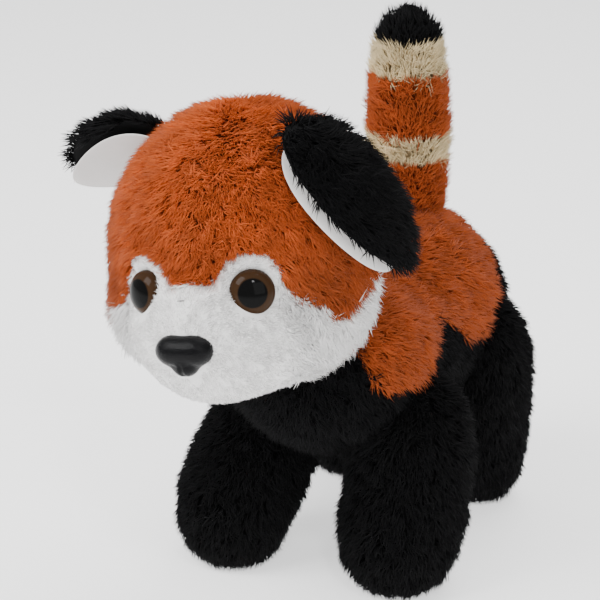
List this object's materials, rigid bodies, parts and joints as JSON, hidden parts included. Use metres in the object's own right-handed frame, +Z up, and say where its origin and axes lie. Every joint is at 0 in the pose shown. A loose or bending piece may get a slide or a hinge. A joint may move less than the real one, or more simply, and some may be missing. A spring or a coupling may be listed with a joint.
{
  "type": "plush red panda toy",
  "caption": "Small stuffed plush red panda standing on four black legs, orange cap and saddle, white face, black-backed ears, banded upright tail, plastic eyes and nose.",
  "frame": {"origin": "middle of the toy's footprint, on the floor", "axes": "+Z up, -Y towards the nose, +X towards the toy's left side"},
  "size_m": [0.1172, 0.1614, 0.1575],
  "materials": {
    "orange_plush": "long rust orange pile, brushed",
    "black_plush": "long black pile, brushed",
    "white_plush": "short white pile on the face, longer on the cheeks",
    "cream_plush": "long cream pile",
    "eye_plastic": "polished dome, brown ring and black pupil",
    "nose_plastic": "moulded black, fine grain",
    "black_thread": "sewing thread"
  },
  "bodies": {
    "root": {"head_cap": "orange_plush", "face_panel": "white_plush", "cheek_left": "white_plush", "cheek_right": "white_plush", "eye_left": "eye_plastic", "eye_right": "eye_plastic", "nose": "nose_plastic", "ear_left": "black_plush", "ear_left_lining": "white_plush", "ear_right": "black_plush", "ear_right_lining": "white_plush", "torso_saddle": "orange_plush", "torso_belly": "black_plush", "leg_front_left": "black_plush", "leg_front_right": "black_plush", "leg_hind_left": "black_plush", "leg_hind_right": "black_plush", "tail_base": "orange_plush", "tail_ring_lower": "cream_plush", "tail_middle": "orange_plush", "tail_ring_upper": "cream_plush", "tail_tip": "black_plush", "mouth_stitch": "black_thread"}
  },
  "joints": []
}
